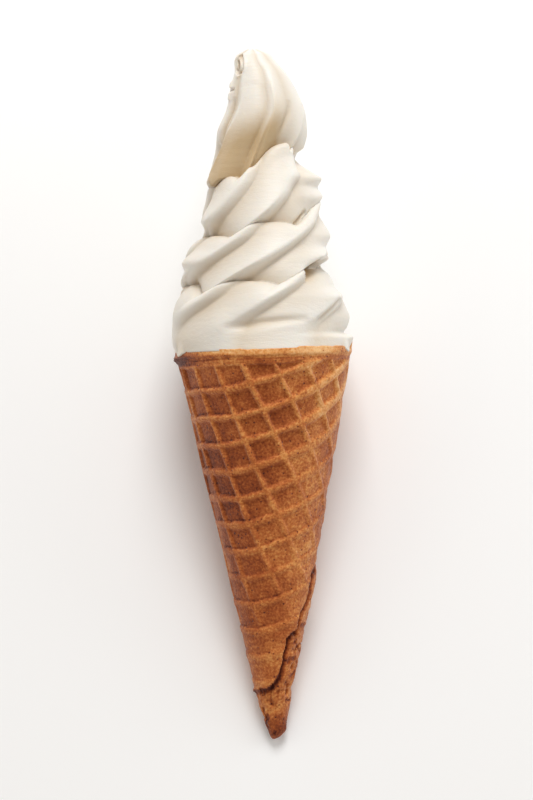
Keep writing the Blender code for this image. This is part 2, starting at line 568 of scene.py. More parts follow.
@dataclass(frozen=True)
class WaferZones:
    """What lies at each point of the wafer's outside.

    Attributes:
        turned: Share of a turn from the lapped edge.
        from_edge: Distance from the lapped edge on the inner layer, and infinite on the outer one.
        slow: Slow unevenness round 0.
        lumps: Lumps round 0, a few millimetres wide.
        fine: Fine unevenness round 0.
        rib: Share from 0 in a hollow of the grid to 1 on a rib.
        crease: Share of the creases along the tops of the rows.
        wrinkle: Share of the thin wrinkles low at the right.
        band: Share of the plain band below the rim.
        lines: Depth of the thin grooves along the band, in millimetres.
        inner: Share of the inner layer that shows beside the lapped edge.
        crumbly: Share of the crumbly batter, which is the inner layer and the tip.
        pits: Share of the pits in the crumbly batter.
        cracks: Share of the cracks in the crumbly batter.
        relief: Depth of the grid's hollows in metres.
    """

    turned: Array
    from_edge: Array
    slow: Array
    lumps: Array
    fine: Array
    rib: Array
    crease: Array
    wrinkle: Array
    band: Array
    lines: Array
    inner: Array
    crumbly: Array
    pits: Array
    cracks: Array
    relief: Array


@dataclass
class WaffleCone:
    """A sheet with a pressed grid and a plain margin, rolled into a cone."""

    frame: ConeFrame
    wall: float = 2.6 * MM
    columns: int = 344
    column_crowding: float = 0.22
    body_rows: int = 238
    margin_rows: int = 30
    margin: float = 7 * MM
    lap_step: float = 1.5 * MM
    cup_depth: float = 128 * MM
    inner_rows: tuple = (0.015, 0.2, 0.5, 1.0)
    rim_edge_round: float = 0.5 * MM
    column_half_width: float = 1.0 * MM
    row_half_width: float = 1.2 * MM
    rib_slope: float = 0.7 * MM
    full_relief: float = 1.1 * MM
    # The grid on the unrolled sheet: a crossing, the step along a row and the step to the next row.
    crossing: tuple = (-0.65 * MM, 145.9 * MM)
    along_row: tuple = (11.25 * MM, 3.15 * MM)
    to_next_row: tuple = (3.91 * MM, -9.73 * MM)
    relief: Curve = curve(
        (-150, 0.2), (-120, 0.35), (-95, 0.55), (-70, 0.75), (-45, 1.05), (-20, 1.35), (0, 1.4), scale=MM)
    # The lapped edge: its azimuth, how ragged it is, and the heights between which it shows.
    lap_azimuth: Curve = curve(
        (-150.4, -300), (-132.4, -200), (-130.8, -60), (-129.8, -12), (-126.4, 7), (-122.9, 15.8),
        (-118.8, 18), (-114.8, 26), (-111.8, 27), (-109.7, 31), (-107.3, 47), (-102.7, 49), (-99.3, 59.5),
        (-95.7, 66), (-86.7, 67.5), (-80, 90), (0, 140), scale=DEGREE)
    raggedness: float = 0.6 * MM
    lap_span: tuple = (-136 * MM, -82 * MM)
    lap_samples: int = 500
    tip_taper: Curve = curve(
        (-150.4, 0.12), (-149.4, 0.5), (-147, 0.75), (-143, 0.82), (-135.3, 0.96), (-128, 1))
    tip_shift: Curve = curve(
        (-150.4, -0.6), (-149.2, 0), (-147, 0.35), (-143, -0.3), (-135.3, -0.45), (-128, 0), scale=MM)
    inner_raise: Curve = curve(
        (-150.4, 1.1), (-108, 1.2), (-104, 1.8), (-92.7, 2.5), (-86, 2.2), (-80, 0.8), (-72, 0), scale=MM)
    noise: Unevenness = Unevenness(11)

    def edge(self, height: Array, places: Array) -> Array:
        """Azimuth of the lapped edge at each height, made ragged by the noise at these places."""
        ragged = self.raggedness * self.noise.layered(places + 0.7, 4 * MM)
        return self.lap_azimuth(height) + ragged / self.frame.radius(height)

    def turned(self, azimuth: Array, height: Array, places: Array) -> Array:
        """Share of a turn from the lapped edge: just over 0 on the inner layer, nearly 1 on the outer."""
        return ((azimuth - self.edge(height, places)) / TURN) % 1.0

    def from_edge(self, azimuth: Array, height: Array) -> Array:
        """Distance from the lapped edge: the least over many places along it.

        Args:
            azimuth: Azimuths of the points.
            height: Heights of the points.

        Returns:
            One distance for each point, measured on the surface.
        """
        edge_height = np.linspace(*self.lap_span, self.lap_samples)
        bare = self.lap_azimuth(edge_height)
        places = self.frame.round_axis(bare, self.frame.radius(edge_height), edge_height)
        nearest = np.full(azimuth.shape, np.inf)
        for edge, level in zip(self.edge(edge_height, places), edge_height):
            across = ((azimuth - edge + math.pi) % TURN - math.pi) * self.frame.radius(height)
            nearest = np.minimum(nearest, np.hypot(across, height - level))
        return nearest

    def rib(self, turned: Array, azimuth: Array, height: Array, places: Array) -> tuple[Array, Array]:
        """How far each point stands on a rib of the grid.

        The cone's side unrolls to a sector: distance from the apex stays, and azimuth shrinks by the sine
        of the half angle. There the ribs are two families of straight lines, which waver a little.

        Args:
            turned: Share of a turn from the lapped edge.
            azimuth: Azimuths of the points.
            height: Heights of the points.
            places: The points themselves.

        Returns:
            Share from 0 in a hollow to 1 on a rib, and share of the crease along the top of each row.
        """
        on_sheet = self.lap_azimuth(height) + TURN * (turned - 1)
        on_sheet = azimuth - TURN * np.round((azimuth - on_sheet) / TURN)
        reach = (height + self.frame.apex_depth) / math.cos(self.frame.half_angle)
        angle = on_sheet * math.sin(self.frame.half_angle)
        sheet = np.stack([reach * np.sin(angle), reach * np.cos(angle)], axis=-1) - self.crossing
        steps = np.array([self.along_row, self.to_next_row]).T
        column, row = np.moveaxis(sheet @ np.linalg.inv(steps).T, -1, 0)
        column = column + 0.05 * self.noise.at(places + 0.2, 14 * MM)
        row = row + 0.05 * self.noise.at(places + 0.4, 14 * MM)
        row = row + 0.19 * smooth_step(-22 * DEGREE, -70 * DEGREE, azimuth)

        area = abs(np.linalg.det(steps))
        column_pitch = area / math.hypot(*self.to_next_row)
        row_pitch = area / math.hypot(*self.along_row)
        rough = self.noise.layered(places + 0.3, 3 * MM) + self.noise.at(places + 0.45, 11 * MM)
        rough = 0.3 * MM * rough
        from_column = np.abs(column - np.round(column)) * column_pitch + rough
        from_row = np.abs(row - np.round(row)) * row_pitch + rough
        low, high = self.rib_slope, -self.rib_slope
        upright = smooth_step(low, high, from_column - self.column_half_width)
        upright = upright * smooth_step(-120 * MM, -85 * MM, height)
        broad = smooth_step(12 * DEGREE, 40 * DEGREE, azimuth) * smooth_step(-60 * MM, -30 * MM, height)
        level = smooth_step(low, high, from_row - self.row_half_width - 0.55 * MM * broad)

        above_row = (np.round(row) - row) * row_pitch + rough
        crease = bell(above_row, self.row_half_width + 0.5 * MM, 0.38 * MM)
        crease = crease * smooth_step(-0.5, 0.2, self.noise.at(places + 0.15, 7 * MM))
        return 1 - (1 - upright) * (1 - level), crease

    def rim_height(self, azimuth: Array) -> Array:
        """Height of the rim's uneven top edge.

        It is crumbly all round, raised in two stretches, chipped at both sides and ends in a shard.

        Args:
            azimuth: Azimuths along the rim.

        Returns:
            One height for each azimuth.
        """
        circle = self.frame.round_axis(azimuth, self.frame.rim_radius, np.zeros_like(azimuth))
        crumbs = 0.22 * MM * self.noise.layered(circle, 3 * MM)
        raised = 0.5 * MM * plateau(azimuth, 22, 25, 66, 72, DEGREE)
        raised = raised + 0.6 * MM * smooth_step(-5 * DEGREE, -40 * DEGREE, azimuth)
        chip = 1.3 * MM * bell(azimuth, -78 * DEGREE, 11 * DEGREE)
        chip = chip + 1.0 * MM * bell(azimuth, 76 * DEGREE, 5 * DEGREE)
        shard = 2.6 * MM * bell(azimuth, 86 * DEGREE, 2.6 * DEGREE)
        return crumbs + raised - chip + shard

    def zones(self, azimuth: Array, height: Array) -> WaferZones:
        """Work out what lies where on the outside.

        Args:
            azimuth: Azimuths of the points.
            height: Heights of the points.

        Returns:
            The zones, with one value for each point.
        """
        places = self.frame.round_axis(azimuth, self.frame.radius(height), height)
        turned = self.turned(azimuth, height, places)
        from_edge = np.where(turned > 0.5, np.inf, self.from_edge(azimuth, height))
        slow = self.noise.layered(places, 22 * MM)
        lumps = self.noise.layered(places + 0.5, 3.2 * MM)
        fine = self.noise.at(places + 0.6, 1.3 * MM)

        inner = smooth_step(0.33, 0.16, turned) * smooth_step(-72 * MM, -86 * MM, height)
        crumbly = np.maximum(inner, smooth_step(-129.5 * MM, -132 * MM, height))
        pits = smooth_step(0.5, 0.95, np.abs(lumps)) * crumbly
        cracks = smooth_step(0.09, 0.02, np.abs(self.noise.layered(places + 0.9, 6 * MM, 2)))
        cracks = cracks * smooth_step(0.05, 0.4, self.noise.at(places + 0.1, 5 * MM)) * crumbly

        # The band's lower edge climbs towards the right, and three grooves run along the band.
        band_low = -5.5 * MM + 1.1 * MM * smooth_step(10 * DEGREE, 45 * DEGREE, azimuth)
        band = smooth_step(-0.45 * MM, 0.45 * MM, height - (band_low + 0.25 * MM * lumps))
        level = height + 0.35 * MM * self.noise.at(places + 0.8, 9 * MM)
        lines = 0.22 * bell(level, -2.3 * MM, 0.4 * MM) + 0.16 * bell(level, -3.5 * MM, 0.35 * MM)
        lines = (lines + 0.12 * bell(level, -4.6 * MM, 0.3 * MM)) * (0.8 + 0.6 * lumps)

        # Creases, dented and given painted shade, show low down and at the left, and weaken towards the
        # right, where wrinkles take over.
        rib, crease = self.rib(turned, azimuth, height, places)
        at_left = smooth_step(-5 * DEGREE, -35 * DEGREE, azimuth)
        low_or_left = np.maximum(smooth_step(-48 * MM, -62 * MM, height), at_left)
        strength = 0.45 + 0.55 * smooth_step(28 * DEGREE, 5 * DEGREE, azimuth)
        crease = crease * low_or_left * strength * (1 - crumbly)
        wrinkled = plateau(azimuth, 12, 30, 85, 115, DEGREE) * plateau(height, -98, -86, -54, -42, MM)
        wrinkle = bell(self.noise.layered(places + 0.35, 7 * MM, 2), 0, 0.07) * wrinkled

        # The grid is worn at the right.
        worn = 0.3 * plateau(azimuth, 8, 45, 90, 130, DEGREE) * smooth_step(-22 * MM, -40 * MM, height)
        worn = np.maximum(worn, 0.6 * smooth_step(58 * DEGREE, 76 * DEGREE, azimuth))
        relief = self.relief(height) * (1 + 0.35 * slow) * (1 - band) * (1 - crumbly) * (1 - worn)
        return WaferZones(turned, from_edge, slow, lumps, fine, rib, crease, wrinkle, band, lines, inner,
                          crumbly, pits, cracks, relief)

    def low_down(self, height: Array) -> Array:
        """Share from 0 to 1 of the part where the lapped edge shows."""
        return smooth_step(-80 * MM, -88 * MM, height)

    def radius(self, azimuth: Array, height: Array, zones: WaferZones) -> Array:
        """Radius of the outside.

        The plain taper grows by a step over a full turn, sinks between the ribs and in the grooves, rises
        in a flap along the lapped edge and on the inner layer, and narrows at the tip.

        Args:
            azimuth: Azimuths of the points.
            height: Heights of the points.
            zones: What lies at the points.

        Returns:
            One radius for each point.
        """
        radius = self.frame.radius(height) + self.lap_step * (zones.turned - 0.5)
        lips = 0.45 * MM * plateau(height, -2.6, -2.1, -2.0, 0.6, MM)
        radius = radius - zones.relief * (1 - zones.rib)
        radius = radius + zones.band * (lips - zones.lines * MM - 0.35 * MM)

        flap = (0.9 - 0.3 * smooth_step(-104 * MM, -98 * MM, height)) * smooth_step(0.8, 1.0, zones.turned)
        flap = flap - 1.2 * bell(zones.from_edge, 0.8 * MM, 0.9 * MM)
        flap = flap * plateau(azimuth, -65, -20, 110, 150, DEGREE) * self.low_down(height)
        radius = radius + self.inner_raise(height) * zones.inner + flap * MM

        radius = radius + 0.22 * MM * zones.slow + (0.07 + 0.32 * zones.crumbly) * MM * zones.lumps
        radius = radius + (0.05 + 0.14 * zones.crumbly) * MM * zones.fine
        radius = radius - (0.7 * zones.pits + 0.8 * zones.cracks + 0.3 * zones.crease) * MM
        radius = radius + 0.2 * MM * zones.wrinkle
        knob = bell(azimuth, -86 * DEGREE, 8 * DEGREE) * bell(height, -3.0 * MM, 1.3 * MM)
        return (radius + 1.5 * MM * knob) * self.tip_taper(height)

    def toast_and_shading(self, azimuth: Array, height: Array, zones: WaferZones) -> Array:
        """How brown the outside is.

        Hollows and cracks are browner than ribs. Creases, the inner layer along the lapped edge and the left
        side get painted shade, and the right side and the band along the rim's edge get painted light.

        Args:
            azimuth: Azimuths of the points.
            height: Heights of the points.
            zones: What lies at the points.

        Returns:
            From 0 for the palest to 1 for the deepest brown.
        """
        gridded = (1 - zones.band) * np.clip(zones.relief / self.full_relief, 0, 1)
        hollow = (1 - zones.rib) * (1 - zones.crumbly) * gridded
        # Painted light: towards the right, the lit side, the hollows are less brown and the upper part is
        # paler.
        to_right = plateau(azimuth, -25, 35, 70, 110, DEGREE)
        painted_light = smooth_step(22 * DEGREE, 48 * DEGREE, azimuth) * smooth_step(-36 * MM, -20 * MM, height)
        toast_and_shading = 0.45 + (0.19 - 0.11 * to_right) * hollow
        toast_and_shading = toast_and_shading - (0.07 + 0.06 * zones.slow + 0.1 * painted_light) * zones.rib * gridded - 0.06 * painted_light
        toast_and_shading = toast_and_shading + 0.1 * zones.slow + 0.06 * zones.lumps + 0.3 * zones.pits + 0.5 * zones.cracks
        # Painted shadow on the inner layer along the lapped edge, low down, where the flap's edge shades it.
        painted_edge_shadow = smooth_step(2.8 * MM, 0.7 * MM, zones.from_edge) * self.low_down(height)
        # Painted shade in the creases along the tops of the rows.
        toast_and_shading = toast_and_shading + 0.22 * zones.crease - 0.1 * zones.wrinkle + 0.5 * painted_edge_shadow

        # Painted highlight along the rim's top edge, reaching further down towards the right, where light
        # falls.
        from_left = smooth_step(-30 * DEGREE, 10 * DEGREE, azimuth)
        slope = height + 1.3 * MM * from_left + 0.5 * MM * zones.slow
        lit_edge = smooth_step(-2.2 * MM, -0.8 * MM, slope)
        band = 0.04 - (0.25 + 0.02 * from_left) * lit_edge + 0.4 * zones.lines
        # Painted shade: the band is darker at the left, the side away from the light.
        band = band + 0.4 * smooth_step(-32 * DEGREE, -62 * DEGREE, azimuth)
        band = band + 0.12 * smooth_step(35 * DEGREE, 55 * DEGREE, azimuth)
        toast_and_shading = toast_and_shading + zones.band * band

        in_shade = plateau(azimuth, -180, -90, -50, -5, DEGREE) * smooth_step(-106 * MM, -88 * MM, height)
        toast_and_shading = toast_and_shading + 0.1 * in_shade * (1 - zones.band)
        toast_and_shading = toast_and_shading + 0.05 * smooth_step(-25 * MM, -45 * MM, height)
        toast_and_shading = toast_and_shading + 0.25 * smooth_step(-139 * MM, -146 * MM, height)
        return np.clip(toast_and_shading, 0, 1)

    def outside(self) -> tuple[Array, dict[str, Array]]:
        """Lay rings up the outside, closer to each other at the rim.

        Returns:
            Points of the rings and their attributes.
        """
        start = np.arange(self.columns)[None, :] * TURN / self.columns - math.pi
        azimuth = start - self.column_crowding * np.sin(start)
        body = np.linspace(-self.frame.length, -self.margin, self.body_rows, endpoint=False)
        margin = np.linspace(-self.margin, 0, self.margin_rows)
        height = np.concatenate([body, margin])[:, None]
        height = height + self.rim_height(azimuth) * smooth_step(-4 * MM, 0, height)
        azimuth = np.broadcast_to(azimuth, height.shape)
        zones = self.zones(azimuth, height)
        radius = self.radius(azimuth, height, zones)
        points = self.frame.round_axis(azimuth, radius, height, self.tip_shift(height))
        return points, {"toast_and_shading": self.toast_and_shading(azimuth, height, zones)}

    def inside(self, outer: Array) -> tuple[Array, dict[str, Array]]:
        """Rings over the rim's edge and down the plain inner face.

        Args:
            outer: The last ring of the outside, which the first ring of the edge follows.

        Returns:
            Points of the rings and their attributes.
        """
        azimuth = np.arctan2(outer[:, 0], -outer[:, 1])[None, :]
        top = outer[None, :, 2]
        inset = np.array([self.rim_edge_round, self.wall - self.rim_edge_round])[:, None]
        edge = self.frame.round_axis(azimuth, self.frame.rim_radius - inset, top + self.rim_edge_round / 2)
        height = -self.cup_depth * np.array(self.inner_rows)[:, None]
        wall = self.frame.round_axis(azimuth, self.frame.radius(height) - self.wall, height)
        rings = np.concatenate([edge, wall])
        return rings, {"toast_and_shading": np.full(rings.shape[:2], 0.2)}

    def build(self) -> bpy.types.Object:
        """Make the wafer's one closed piece and dress it.

        Returns:
            The piece.
        """
        outer, outer_values = self.outside()
        inner, inner_values = self.inside(outer[-1])
        values = {key: np.concatenate([outer_values[key], inner_values[key]]) for key in outer_values}
        piece = closed_skin("wafer", self.frame.laid_down(np.concatenate([outer, inner])), values)
        piece.data.materials.append(BakedWafer().material())
        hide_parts("waffle_cone")
        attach(piece, "root")
        return piece


# ---------------------------------------------------------------- the ice cream


@dataclass(frozen=True)
class Stroke:
    """A groove or a thin ridge along a line drawn on the swirl.

    Attributes:
        path: Points of the line, as azimuth in degrees and height in millimetres.
        depth: How far the surface moves in along the line; negative for a ridge.
        width: Distance from the line at which the move has fallen to about a third.
        taper: How much the move fades towards both ends of the line.
    """

    path: tuple
    depth: float
    width: float
    taper: float = 0.5

    def at(self, azimuth: Array, height: Array, radius: Array) -> Array:
        """Move at each point: a bell of its distance to the line, measured on the surface.

        Args:
            azimuth: Azimuths of the points.
            height: Heights of the points.
            radius: Radii of the points.

        Returns:
            How far each point moves in.
        """
        nearest = np.full(azimuth.shape, np.inf)
        way = np.zeros(azimuth.shape)
        legs = list(zip(self.path[:-1], self.path[1:]))
        for i, ((a0, h0), (a1, h1)) in enumerate(legs):
            along = np.stack([(a1 - a0) * DEGREE * radius, np.broadcast_to((h1 - h0) * MM, radius.shape)])
            to_point = np.stack([(azimuth - a0 * DEGREE) * radius, height - h0 * MM])
            share = np.clip((along * to_point).sum(axis=0) / (along**2).sum(axis=0), 0, 1)
            distance = np.hypot(*(to_point - share * along))
            way = np.where(distance < nearest, (i + share) / len(legs), way)
            nearest = np.minimum(nearest, distance)
        return self.depth * bell(nearest, 0, self.width) * (4 * way * (1 - way)) ** self.taper


def oval(azimuth: float, height: float, across: float, up: float) -> tuple:
    """Closed path round a place: azimuths and across in degrees, heights and up in millimetres."""
    turns = np.linspace(0, TURN, 13)
    return tuple(zip(azimuth + across * np.sin(turns), height + up * np.cos(turns)))


def soft_min(first: Array, second: Array, softness: Array | float) -> Array:
    """Smaller of two values, with the corner where they cross rounded over softness."""
    overlap = np.clip(1 - np.abs(first - second) / softness, 0, 1)
    return np.minimum(first, second) - softness * overlap**2 / 4


@dataclass
class SoftServe:
    """Ice cream from a nozzle with six lobes, laid in coils that narrow to a folded tip, the hood."""

    frame: ConeFrame
    lobes: int = 6
    columns_per_lobe: int = 52
    rows: int = 310
    row_crowding: float = 1.25
    height: float = 116.5 * MM
    crowding: float = 0.1
    wall_share: float = 0.26
    crease_climb: float = 1.2
    # A crest starts its own lobe even where rounding puts it just below a whole number.
    nudge: float = 1e-6
    coils_below_hood: int = 3
    full_crease: float = 0.18
    crease_lift: float = 1.3 * MM
    rim_inset: float = 0.8 * MM
    drip: float = 1.6 * MM
    drip_stand: float = 0.95 * MM
    plug_heights: tuple = (-122.8 * MM, -64 * MM, -20 * MM, -0.5 * MM)
    plug_gap: float = 2.9 * MM
    crest_radius: Curve = curve(
        (0, 33.8), (9.7, 34.4), (36.8, 28.8), (58, 24.4), (75, 19.6), (87, 17.6), (96.8, 14.8),
        (104.7, 12.0), (110.3, 9.4), (114.2, 6.6), (116.5, 2.0), scale=MM)
    coils_passed: Curve = curve(
        (0, 0), (26, 1), (46.8, 2), (72, 3), (103, 4), (116.5, 4.3))
    crest_azimuth: Curve = curve(
        (0, -154), (5, -152), (9.3, -149), (17.4, -123), (30.6, -74), (44.1, -20), (59.6, 28), (74.3, 57),
        (96.8, 76), (116.5, 81), scale=DEGREE)
    valley_depth: Curve = curve(
        (0, 0.3), (5, 1.0), (12, 3.2), (25, 3.8), (60, 3.8), (76, 3.6), (88, 2.4), (96, 1.8), (104, 1.4),
        (110, 0.8), (116.5, 0), scale=MM)
    hood_turn: Curve = curve(
        (66, 13), (76, 9), (89, 2), (100, 0), scale=DEGREE)
    hood_share: Curve = curve(
        (66, 0.55), (76, 0.62), (88, 0.78), (116, 0.78))
    hood_sag: Curve = curve(
        (-180, 0), (-90, -0.18), (-58, -0.25), (-46, -0.13), (-28, -0.08), (-8, -0.15), (6, -0.04),
        (24, 0.14), (34, 0.21), (42, 0.25), (47, 0.19), (54, -0.03), (60, -0.12), (80, -0.26), (120, -0.1),
        (180, 0), unit=DEGREE)
    crease_share: Curve = curve(
        (0, 0), (12, 0), (20, 0.16), (60, 0.2), (72, 0.27), (84, 0.22), (96, 0.06), (104, 0))
    sideways_lean: Curve = curve(
        (74, 0), (85, 2.1), (93, 3.9), (100.6, 3.2), (107, 2.2), (112.2, 0.2), (116.5, -0.4), scale=MM)
    # How much further than the crests the swirl reaches at the front, the left and the right.
    front_roll: Curve = curve(
        (0, 0), (4, -1.0), (8, -1.5), (12, -1.3), (20, 0), scale=MM)
    left_reach: Curve = curve(
        (0, 0), (4, 0.8), (11, 0.4), (19, 1.4), (24, 0.5), (31, -0.2), (35, 2.4), (39, 0.2), (46.5, -5.3),
        (51, -2.4), (58, -3.8), (62, -3.2), (66, -0.6), (75, -1.7), (88, -0.4), (104, -0.6), (109, -1.0),
        (116.5, 0.8), scale=MM)
    right_reach: Curve = curve(
        (0, 0), (4, 1.1), (6, -2.8), (8, -1.6), (13, 0), (19, 0), (24, -3.6), (27, -3.6), (31, -5.6),
        (35, 0.3), (39, -2.2), (44, 0.2), (51, -0.7), (58, 1.6), (62, -0.2), (66, 2.8), (70, -3.2),
        (73.5, -4.8), (78, 1.2), (82, 1.6), (93, -0.6), (108, -0.8), (116.5, 0.8), scale=MM)
    strokes: tuple = (
        # The fold above the lowest roll.
        Stroke(((-26, 8.6), (0, 10.2), (15, 10.8), (32, 11.3)), 1.2 * MM, 1.5 * MM),
        # Deep gaps where two creases meet at the right.
        Stroke(((37, 27.6), (48, 29.4), (58, 32.2)), 4.2 * MM, 2.2 * MM, 0.3),
        Stroke(((38, 47.4), (47, 50), (55, 52.8)), 1.8 * MM, 1.0 * MM, 0.4),
        # The sharp lower edge of the lobe at the right.
        Stroke(((67, 18.6), (57, 15.3), (48, 12.6), (41, 10.6)), 1.5 * MM, 1.0 * MM, 0.4),
        # The hood's left front edge, and less of the lobe behind it.
        Stroke(((-47, 86), (-51, 79), (-55, 75), (-60, 69), (-58, 65), (-53, 61)), -0.9 * MM, 1.2 * MM, 0.3),
        Stroke(((-86, 77), (-92, 69)), 3.0 * MM, 4.0 * MM, 0),
        Stroke(((-57, 98), (-62, 91), (-67, 84), (-68, 75)), 1.8 * MM, 1.2 * MM, 0.9),
        # The top: a thin seam and the crease right of it.
        Stroke(((20, 108), (19, 104), (16, 99.7), (13, 92), (11, 84)), -0.3 * MM, 0.5 * MM),
        Stroke(((29, 82), (36, 89), (41, 96)), 0.8 * MM, 1.2 * MM, 0.8),
        # The curl at the left of the tip: an oval groove, a hollow in its middle, and the lip below it.
        Stroke(oval(-52, 110.4, 19, 3.6), 1.3 * MM, 0.6 * MM, 0),
        Stroke(((-58, 108.8), (-56, 111.2)), 2.4 * MM, 0.9 * MM, 0),
        Stroke(((-22, 112.5), (-34, 108.2), (-58, 105.4)), -0.7 * MM, 0.7 * MM, 0.2),
        # Two small beads below the curl, and the groove between them.
        Stroke(((-72, 102.0), (-74, 103.4)), -1.1 * MM, 1.0 * MM, 0),
        Stroke(((-60, 100.9), (-84, 100.7)), 1.0 * MM, 0.5 * MM, 0.2),
        Stroke(((-75, 97.6), (-76, 99.4)), -0.8 * MM, 1.0 * MM, 0),
    )
    noise: Unevenness = Unevenness(5)

    def crowded(self, azimuth: Array, height: Array) -> Array:
        """Azimuth in which the lobes are equally wide: narrow at the sides, but wide low at the right."""
        wide = bell(height, 14 * MM, 8 * MM) * plateau(azimuth, 10, 50, 90, 130, DEGREE)
        return azimuth + self.crowding * np.sin(2 * azimuth) - 9 * DEGREE * wide

    def lobes_passed(self, crowded: Array, height: Array) -> Array:
        """Number of lobes between the first crest and each point, which rises by one from crest to crest."""
        return (crowded - self.crest_azimuth(height)) * self.lobes / TURN + self.nudge

    def coils_under(self, azimuth: Array, height: Array, crowded: Array) -> Array:
        """Number of coils below each point.

        The crease between two coils stays level along a facet and climbs beside each crest. It sags along
        the hood and at two places on the sides.

        Args:
            azimuth: Azimuths of the points.
            height: Heights of the points.
            crowded: Azimuths in which the lobes are equally wide.

        Returns:
            One number for each point, which is whole along a crease.
        """
        lobe = self.lobes_passed(crowded, height) % 1.0
        after_crest = (lobe + 0.07) % 1.0
        climb = smooth_step(0.0, 0.11, after_crest) - after_crest - 0.45
        arch = 0.22 * (4 * after_crest * (1 - after_crest) - 0.67)
        climbed = (self.crease_climb * climb + arch) / self.lobes
        sag = self.hood_sag(azimuth) * bell(height, 70 * MM, 14 * MM)
        at_right = plateau(azimuth, 35, 65, 110, 180, DEGREE)
        at_left = plateau(azimuth, -180, -110, -70, -45, DEGREE)
        sag = sag + 0.24 * at_right * bell(height, 57 * MM, 8 * MM)
        sag = sag + 0.15 * at_left * bell(height, 24 * MM, 8 * MM)
        return self.coils_passed(height) - azimuth / TURN - sag - climbed

    def valley(self, azimuth: Array, height: Array, crowded: Array, hood: Array,
               wander: Array) -> tuple[Array, Array]:
        """Sink between the crests.

        Between one crest and the next the surface falls down a short wall, then climbs a broad facet.

        Args:
            azimuth: Azimuths of the points.
            height: Heights of the points.
            crowded: Azimuths in which the lobes are equally wide.
            hood: Whether each point is on the hood, whose lobes are turned on a little.
            wander: Slow unevenness round 0.

        Returns:
            Depth from 0 on a crest to nearly 1, and whether a point is on one of the hood's left lobes.
        """
        counted = self.lobes_passed(crowded - hood * self.hood_turn(height), height)
        lobe = counted % 1.0
        middle = self.crest_azimuth(height) + (np.floor(counted) + 0.5) * TURN / self.lobes
        left = hood & (np.sin(middle) < 0)
        share = np.where(left, self.hood_share(height), self.wall_share + 0.14 * hood)
        wall = (lobe / share) ** (1.4 + 0.3 * left + 0.4 * left * smooth_step(82 * MM, 96 * MM, height))
        facet = (1 - lobe) / (1 - share)
        valley = soft_min(wall, facet, 0.2 + 0.16 * wander)
        rounding = 0.14 + 0.3 * smooth_step(0.6, 0.95, np.abs(np.sin(azimuth)))
        return np.hypot(np.maximum(valley, 0), rounding) - rounding, left

    def outline(self, azimuth: Array, height: Array) -> Array:
        """Radius of the crests, with what the swirl reaches further at the front and the sides.

        Args:
            azimuth: Azimuths of the points.
            height: Heights of the points.

        Returns:
            One radius for each point.
        """
        side = np.sin(azimuth)
        rolled = self.front_roll(height) * plateau(azimuth, -34, -16, 60, 85, DEGREE)
        reach = np.where(side < 0, self.left_reach(height), self.right_reach(height)) * side**4
        return self.crest_radius(height) + rolled + reach

    def skin(self, azimuth: Array, height: Array) -> tuple[Array, Array, Array]:
        """Shape of the swirl at each azimuth and height: crests, valleys, creases between coils and strokes.

        Args:
            azimuth: Azimuths of the points.
            height: Heights of the points.

        Returns:
            The radius, a lift along the axis, and the share of painted shade, in folds and under the hood,
            from 0 to 1.
        """
        crest = self.crest_radius(height)
        wander = self.noise.layered(self.frame.round_axis(azimuth, crest, height), 16 * MM)
        crowded = self.crowded(azimuth, height)
        passed = self.coils_under(azimuth, height, crowded)
        hood = passed >= self.coils_below_hood
        valley, left = self.valley(azimuth, height, crowded, hood, wander)

        coil = passed % 1.0
        crease = (1 - coil) ** (7 - 4 * smooth_step(62 * MM, 78 * MM, height)) + coil**16
        sides = smooth_step(-25 * DEGREE, -50 * DEGREE, azimuth)
        sides = sides + 0.6 * smooth_step(50 * DEGREE, 75 * DEGREE, azimuth)
        crease_share = self.crease_share(height) * (1 - 0.75 * hood * sides)
        creased = crease_share / self.full_crease
        lift = self.crease_lift * creased * plateau(coil, 0.8, 0.93, 0.95, 1.0)

        radius = self.outline(azimuth, height)
        depth = np.minimum(self.valley_depth(height), 0.3 * radius) * (1 + 0.15 * wander)
        depth = depth * (1 - 0.8 * (hood & ~left) * smooth_step(90 * MM, 102 * MM, height))
        depth = depth + 1.6 * MM * left * bell(height, 76 * MM, 10 * MM)
        radius = radius * (1 - crease_share * crease) - depth * valley * (1 - 0.35 * crease)
        groove = sum(stroke.at(azimuth, height, crest) for stroke in self.strokes)
        radius = radius - groove + 0.18 * MM * wander * smooth_step(0, 6 * MM, height)

        # Painted shade: the hood's left half gets it where it lies in its own shade, and creases, valleys
        # and grooves get it, with more of the warm painted shade towards the left, the side away from the
        # light.
        shaded = hood * smooth_step(3.9, 3.3, passed) * plateau(azimuth, -88, -52, 14, 38, DEGREE)
        tint = 0.48 + 0.28 * bell(azimuth, -55 * DEGREE, 28 * DEGREE)
        painted_shade = 0.25 * crease * creased + tint * valley + np.maximum(groove, 0) / (4 * MM) + 0.9 * shaded
        return radius, lift, np.clip(painted_shade, 0, 1)

    def over_rim(self, azimuth: Array, height: Array, radius: Array) -> tuple[Array, Array]:
        """Fill the wafer's rim with the lowest rings, and let them run down it in two places.

        Args:
            azimuth: Azimuths of the points.
            height: Heights of the points.
            radius: Radii of the points.

        Returns:
            The new radii, and how far each point drops.
        """
        base = smooth_step(4.5 * MM, 0, height)
        drop = self.drip * bell(azimuth, -67.5 * DEGREE, 4 * DEGREE)
        drop = drop + self.drip * bell(azimuth, 70 * DEGREE, 3 * DEGREE)
        wide = smooth_step(0.2 * MM, 0.9 * MM, drop) * base
        radius = np.maximum(radius, (self.frame.rim_radius - self.rim_inset) * base)
        outside = self.frame.rim_radius + self.drip_stand
        return radius + np.maximum(outside - radius, 0) * wide, drop * base

    def columns(self) -> Array:
        """Steps of azimuth from column to column of the mesh, all the way round."""
        count = self.lobes * self.columns_per_lobe
        return np.arange(count)[None, :] * TURN / count

